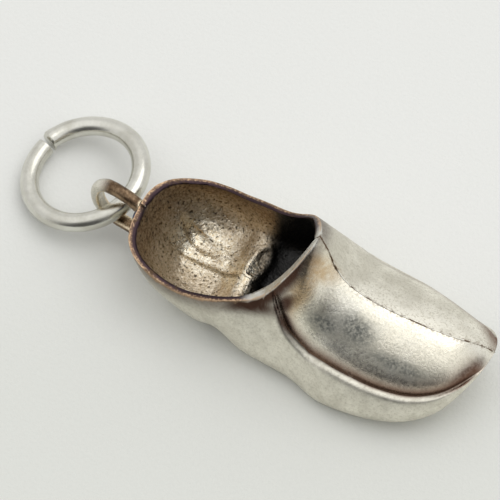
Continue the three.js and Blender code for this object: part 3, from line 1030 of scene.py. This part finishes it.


# %% [markdown]
# ## The finish of a half
# One finish covers a half: its outside, its hollow and its cut rim, chosen by the stored places. The
# rim's outer edge is rubbed to gold here and there. The near half was handled more, so its vamp is
# smoother and its pits are shallower than the far half's, and its vamp's top is cream with a painted
# highlight.

# %% Shell finish
def shell_finish(name, top_tone_and_highlight, side_dullness, matt, pit_depth, seed):
    finish = Finish(name)
    inside = finish.attribute("inside")
    cut = finish.attribute("cut")
    grain = finish.noise(0.17, 3, 0.6, seed + 5)
    fine = finish.noise(0.07, 2, 0.5, seed + 7)
    base = finish.colour(inside, outer_skin(finish, seed, top_tone_and_highlight, side_dullness), hollow_skin(finish, seed))
    base = finish.colour(cut, base, cut_face(finish, seed))
    broken = finish.ramp(finish.noise(0.6, 4, 0.6, seed + 23), 0.35, 0.5)
    rubbed = finish.times(finish.attribute("edge"), broken, 0.9)
    base = finish.colour(rubbed, base, edge_gold)
    rough = finish.number(finish.attribute("vamp"), 0.42, matt)
    rough = finish.number(finish.attribute("dark_reflection_patch"), rough, 0.5)
    hollow_rough = finish.number(finish.attribute("bare_and_highlight_patch"), 0.42, 0.29)
    rough = finish.number(inside, rough, hollow_rough)
    rough = finish.number(cut, rough, 0.4)
    rough = finish.maths("ADD", rough, finish.ramp(grain, 0.3, 0.7, -0.08, 0.10))
    pits = finish.ramp(finish.spots(0.26, seed), 0.0, 0.35)
    normal = finish.bump(pits, pit_depth)
    normal = finish.bump(grain, 0.022, normal)
    normal = finish.bump(fine, 0.006, normal)
    normal = finish.bump(finish.times(finish.noise(0.2, 3, 0.6, seed + 17), inside), -0.06, normal)
    return finish.paint(base, rough, normal)


# The near half's vamp top takes a cream with a painted highlight.
near_finish = shell_finish(
    "polished_silver_finish", top_tone_and_highlight=cream_highlight_tint, side_dullness=0.35, matt=0.27, pit_depth=0.006, seed=1.0
)
far_finish = shell_finish(
    "tarnished_silver_finish", top_tone_and_highlight=silver_dull, side_dullness=0.6, matt=0.46, pit_depth=0.03, seed=11.0
)
dress(near_shell, near_finish)
dress(far_shell, far_finish)

# %% [markdown]
# ## Solder
# Solder keeps the blue and violet of its heating where nothing rubs it. So the bead at the bail's upper
# leg is blue, the lower one is brown, and the filed line on the seam is bright with dark breaks.

# %% Seam and bead finishes
seam_bright, seam_dark = (0.90, 0.87, 0.78), (0.16, 0.11, 0.07)
heat_blue, heat_black = (0.10, 0.13, 0.23), (0.035, 0.028, 0.035)
bead_brown, bead_black = (0.26, 0.20, 0.15), (0.04, 0.03, 0.025)


def solder_finish(name, bright, dark, patch_mm, shine):
    finish = Finish(name)
    blot = finish.noise(patch_mm, 5, 0.6, 2.0)
    grain = finish.noise(0.1, 3, 0.6, 4.0)
    base = finish.colour(finish.ramp(blot, 0.42, 0.58), bright, dark)
    rough = finish.ramp(grain, 0.3, 0.7, shine, shine + 0.2)
    return finish.paint(base, rough, finish.bump(grain, 0.03))


dress(seam_solder, solder_finish("seam_solder_finish", seam_bright, seam_dark, 0.7, 0.25))
dress(upper_bead, solder_finish("upper_solder_finish", heat_blue, heat_black, 0.4, 0.25))
dress(lower_bead, solder_finish("lower_solder_finish", bead_brown, bead_black, 0.4, 0.35))

# %% [markdown]
# ## The bail's finish
# The bail was heated with the shoe, so it is as brown as the rim, gold along its edges, partly rubbed and
# partly a painted highlight, and rubbed to silver at the bend, where the ring has worn it.

# %% Bail finish
bail_tan, bail_brown = (0.30, 0.21, 0.13), (0.11, 0.07, 0.042)
bend_silver = (0.80, 0.77, 0.69)
# Gold for the strip's edges: rubbed metal and a painted highlight.
edge_gold_and_highlight = (0.90, 0.76, 0.55)
bail_finish = Finish("bail_silver_finish")
bail_blot = bail_finish.noise(0.7, 4, 0.6, 31.0)
bail_grain = bail_finish.noise(0.1, 3, 0.6, 33.0)
bail_skin = bail_finish.colour(bail_finish.ramp(bail_blot, 0.4, 0.62), bail_tan, bail_brown)
at_bend = bail_finish.ramp(bail_finish.axis("X"), -15.2, -16.2)
bail_skin = bail_finish.colour(at_bend, bail_skin, bend_silver)
# Rubbed edges and painted highlight along the strip.
rubbed_and_highlit_edge = bail_finish.times(bail_finish.attribute("edge"), bail_finish.ramp(bail_blot, 0.35, 0.5))
bail_skin = bail_finish.colour(rubbed_and_highlit_edge, bail_skin, edge_gold_and_highlight)
bail_rough = bail_finish.ramp(bail_grain, 0.3, 0.7, 0.22, 0.42)
dress(bail, bail_finish.paint(bail_skin, bail_rough, bail_finish.bump(bail_grain, 0.02)))

# %% [markdown]
# ## The ring's finish
# The ring is newer and cleaner than the shoe: bright wire, dulled a little in patches, with fine
# scratches.

# %% Ring finish
ring_bright, ring_dull = (0.74, 0.73, 0.67), (0.60, 0.585, 0.52)
ring_finish = Finish("ring_silver_finish")
ring_blot = ring_finish.noise(1.6, 4, 0.6, 41.0)
ring_scratch = ring_finish.noise(0.12, 4, 0.7, 43.0, warp=1.5)
ring_skin = ring_finish.colour(ring_finish.ramp(ring_blot, 0.35, 0.65), ring_bright, ring_dull)
ring_rough = ring_finish.ramp(ring_blot, 0.4, 0.7, 0.06, 0.18)
dress(ring, ring_finish.paint(ring_skin, ring_rough, ring_finish.bump(ring_scratch, 0.008)))

# %% [markdown]
# ## What each skin rides on
# Each skin replaces its solid in the picture and moves with the same body, so that the ring still
# swings in the bail. The solder on the seam stands for no solid and rides on the shoe.

# %% Riding and replacing
skins = [
    (near_shell, "shoe", "right_half_shell", "polished_silver"),
    (far_shell, "shoe", "left_half_shell", "tarnished_silver"),
    (bail, "shoe", "bail", "bail_silver"),
    (upper_bead, "shoe", "upper_solder_bead", "upper_solder"),
    (lower_bead, "shoe", "lower_solder_bead", "lower_solder"),
    (ring, "ring", "jump_ring", "ring_silver"),
]
for skin, body, node, slot in skins:
    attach(skin, body)
    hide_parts(node)
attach(seam_solder, "shoe")
print("skins:", len(skins), "and the seam's solder")

# %% [markdown]
# ## The table
# The charm lies on a pale, finely grained table. Its colour holds painted light: a little darker towards
# the viewer's left than at the far right, as a table beside a window is lit, and this painted shade runs
# over the 20 mm round the charm.

# %% Table
table_size = 3.0
# Painted shade and painted light: the table's colour at its darker and lighter ends.
table_in_painted_shade = (0.77, 0.78, 0.74), (0.80, 0.81, 0.77)
table_in_painted_light = (0.845, 0.85, 0.825), (0.875, 0.88, 0.855)
painted_light_towards = (-0.157, 0.988)
darkest_at, lightest_at = -11.58, 8.17
bpy.ops.mesh.primitive_plane_add(size=table_size, location=(0, 0, 0))
table = bpy.context.object
table.name = "table"
bpy.ops.object.transform_apply()
table_finish = Finish("table_finish", metallic=0.0)
table_grain = table_finish.noise(0.25, 3, 0.6)
across_table = table_finish.maths(
    "ADD",
    table_finish.times(table_finish.axis("X"), painted_light_towards[0]),
    table_finish.times(table_finish.axis("Y"), painted_light_towards[1]),
)
# The table's colour fades from painted shade to painted light across it.
table_painted_falloff = table_finish.colour(
    table_finish.ramp(across_table, darkest_at, lightest_at),
    table_finish.colour(table_grain, *table_in_painted_shade),
    table_finish.colour(table_grain, *table_in_painted_light),
)
dress(table, table_finish.paint(table_painted_falloff, 0.8, table_finish.bump(table_grain, 0.03)))

# %% [markdown]
# ## The lamp
# One large soft lamp hangs overhead, a little beyond the toe and behind it, and gives the shadows their
# direction. It is as wide as it is high, so their edges are soft.

# %% Lamp
lamp_place = Vector((130, 170, 420)) * MM
lamp_size = 420 * MM
lamp_watts = 0.36
bpy.ops.object.light_add(type="AREA", location=lamp_place)
lamp = bpy.context.object
lamp.name = "window_light"
lamp.data.shape = "DISK"
lamp.data.size = lamp_size
lamp.data.energy = lamp_watts
lamp.rotation_euler = (aim - lamp_place).to_track_quat("-Z", "Y").to_euler()
print("lamp:", lamp_watts, "W, from", round((aim - lamp_place).length / MM), "mm away")

# %% [markdown]
# ## The room
# Bright metal shows little of its own: it shows the room. So the room is made as a dome: bright
# overhead, dimmer round the horizon, and dark low down where the viewer stands, which draws the dark
# band along the shoe's side. Heights are those of a dome of radius 1. The dark starts and is full at two
# cosines of the angle from its middle.

# %% Room
horizon_light = 0.78
overhead_light = 1.02
brightens_between = (0.5, 0.85)
dark_share = 0.85
dark_side = Vector((0.161, -0.957, 0.242)).normalized()
darkens_between = (0.55, 0.97)
room_white = (1.0, 1.0, 0.99, 1)
world = bpy.data.worlds.new("room")
bpy.context.scene.world = world
world.use_nodes = True
room = world.node_tree
toward = room.nodes.new("ShaderNodeTexCoord").outputs["Generated"]


def room_ramp(value, between, start, end):
    node = room.nodes.new("ShaderNodeMapRange")
    node.interpolation_type = "SMOOTHSTEP"
    settings = {"From Min": between[0], "From Max": between[1], "To Min": start, "To Max": end}
    for name, number in settings.items():
        node.inputs[name].default_value = number
    room.links.new(value, node.inputs["Value"])
    return node.outputs["Result"]


height = room.nodes.new("ShaderNodeSeparateXYZ")
room.links.new(toward, height.inputs["Vector"])
dome = room_ramp(height.outputs["Z"], brightens_between, horizon_light, overhead_light)
facing = room.nodes.new("ShaderNodeVectorMath")
facing.operation = "DOT_PRODUCT"
facing.inputs[1].default_value = dark_side
room.links.new(toward, facing.inputs[0])
shade = room_ramp(facing.outputs["Value"], darkens_between, 1.0, 1.0 - dark_share)
light = room.nodes.new("ShaderNodeMath")
light.operation = "MULTIPLY"
room.links.new(dome, light.inputs[0])
room.links.new(shade, light.inputs[1])
background = room.nodes["Background"]
room.links.new(light.outputs[0], background.inputs["Strength"])
background.inputs["Color"].default_value = room_white
bpy.context.scene.view_settings.view_transform = "Standard"
print("room: horizon", horizon_light, "overhead", overhead_light)

# %% [markdown]
# ## Last update
# Last, the view layer is brought up to date.

# %% Update the view layer
bpy.context.view_layer.update()
